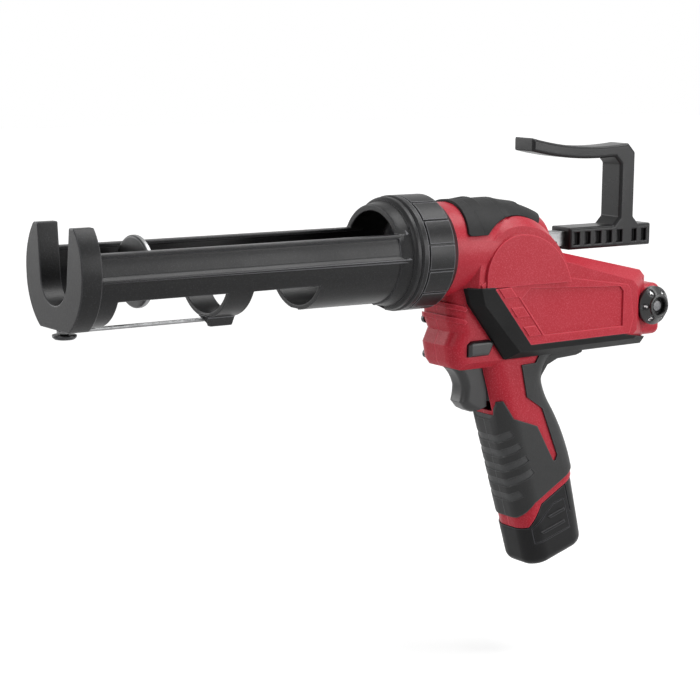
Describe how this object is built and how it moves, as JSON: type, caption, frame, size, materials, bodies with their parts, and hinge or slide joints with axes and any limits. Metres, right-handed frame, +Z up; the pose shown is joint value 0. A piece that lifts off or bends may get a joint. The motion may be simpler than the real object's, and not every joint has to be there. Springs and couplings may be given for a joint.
{
  "type": "cordless caulking tool",
  "caption": "Cordless caulking tool: a motor-driven rack pushes a piston through an open swivelling carriage; slide-in battery, trigger, lock slider, speed dial and pull hook.",
  "frame": {"origin": "on the barrel axis, in the plane of the lock collar's front rim", "axes": "+X along the barrel axis from the nozzle end to the rear, +Z up, the tool's left side toward -Y"},
  "size_m": [0.4505, 0.072, 0.2831],
  "materials": {
    "red_shell": "fine matte texture",
    "soft_cover": "soft matte",
    "black_nylon": "satin, fine texture",
    "battery_black": "satin",
    "inner_plastic": "satin",
    "steel": "brushed",
    "cast_alloy": "die cast",
    "board": "solder mask"
  },
  "bodies": {
    "housing": {"housing_left": "red_shell", "housing_right": "red_shell", "bumper_left": "soft_cover", "bumper_right": "soft_cover", "top_pad_left": "soft_cover", "top_pad_right": "soft_cover", "grip_cover_left": "soft_cover", "grip_cover_right": "soft_cover", "nose_sleeve": "cast_alloy", "housing_screws": "steel", "rack_guide_front": "inner_plastic", "rack_guide_rear": "inner_plastic", "gear_plate_left": "cast_alloy", "gear_plate_right": "cast_alloy", "pinion_bearing_left": "steel", "pinion_bearing_right": "steel", "idler_bearing_left": "steel", "idler_bearing_right": "steel", "planetary_gearbox": "cast_alloy", "motor_can": "steel", "motor_end_cap": "inner_plastic", "switch_module": "inner_plastic", "dial_potentiometer": "inner_plastic", "control_board": "board", "contact_block": "inner_plastic"},
    "carriage": {"carriage_frame": "black_nylon", "punch_pivot_screw": "steel"},
    "punch": {"seal_punch_wire": "steel"},
    "collar": {"lock_collar": "black_nylon"},
    "rack": {"drive_rack": "steel", "piston_disc": "steel", "piston_screw": "steel", "hook_handle": "black_nylon", "hook_pins": "steel"},
    "output_shaft": {"rack_pinion": "steel", "output_gear": "steel"},
    "idler": {"idler_shaft": "steel", "bevel_gear": "steel"},
    "drive_pinion": {"bevel_pinion": "steel"},
    "trigger": {"trigger": "black_nylon", "switch_plunger": "inner_plastic"},
    "lock": {"lock_slider": "black_nylon"},
    "dial": {"speed_dial": "black_nylon", "dial_shaft": "inner_plastic"},
    "battery": {"battery_case": "battery_black", "battery_cells": "steel"},
    "latch_left": {"latch_left": "battery_black"},
    "latch_right": {"latch_right": "battery_black"}
  },
  "joints": [
    {"name": "rack_slide", "type": "slide", "parent": "housing", "child": "rack", "axis": [1, 0, 0], "range_m": [-0.012, 0.185]},
    {"name": "output_turn", "type": "hinge", "parent": "housing", "child": "output_shaft", "pos_m": [0.0818, 0, -0.01125], "axis": [0, 1, 0], "range_deg": [-71.5, 1088.2]},
    {"name": "idler_turn", "type": "hinge", "parent": "housing", "child": "idler", "pos_m": [0.0818, 0, -0.04275], "axis": [0, 1, 0], "range_deg": [-2175.3, 142]},
    {"name": "drive_pinion_turn", "type": "hinge", "parent": "housing", "child": "drive_pinion", "pos_m": [0.0818, 0, -0.04275], "axis": [1, 0, 0], "range_deg": [-283.1, 4349.6]},
    {"name": "carriage_swivel", "type": "hinge", "parent": "housing", "child": "carriage", "pos_m": [0, 0, 0], "axis": [1, 0, 0], "continuous": true},
    {"name": "collar_turn", "type": "hinge", "parent": "housing", "child": "collar", "pos_m": [0.015, 0, 0], "axis": [1, 0, 0], "continuous": true},
    {"name": "punch_swing", "type": "hinge", "parent": "carriage", "child": "punch", "pos_m": [-0.2245, 0, -0.031], "axis": [0, 0, 1], "range_deg": [0, 180]},
    {"name": "trigger_pull", "type": "slide", "parent": "housing", "child": "trigger", "axis": [1, 0, 0], "range_m": [0, 0.006], "stiffness_N_per_m": 600, "springref_m": -0.003},
    {"name": "lock_slide", "type": "slide", "parent": "housing", "child": "lock", "axis": [0, 1, 0], "range_m": [-0.003, 0.003]},
    {"name": "dial_turn", "type": "hinge", "parent": "housing", "child": "dial", "pos_m": [0.2045, -0.022, -0.0445], "axis": [0, -1, 0], "range_deg": [-135, 135]},
    {"name": "battery_slide", "type": "slide", "parent": "housing", "child": "battery", "axis": [0.2924, 0, -0.9563], "range_m": [0, 0.062]},
    {"name": "latch_left_press", "type": "slide", "parent": "battery", "child": "latch_left", "axis": [0, 1, 0], "range_m": [0, 0.0016], "stiffness_N_per_m": 500, "springref_m": -0.002},
    {"name": "latch_right_press", "type": "slide", "parent": "battery", "child": "latch_right", "axis": [0, -1, 0], "range_m": [0, 0.0016], "stiffness_N_per_m": 500, "springref_m": -0.002}
  ],
  "couplings": [
    {"joint": "output_turn", "follows": "rack_slide", "rad_per_m": 102.56},
    {"joint": "idler_turn", "follows": "rack_slide", "rad_per_m": -205.13},
    {"joint": "drive_pinion_turn", "follows": "rack_slide", "rad_per_m": 410.26}
  ]
}
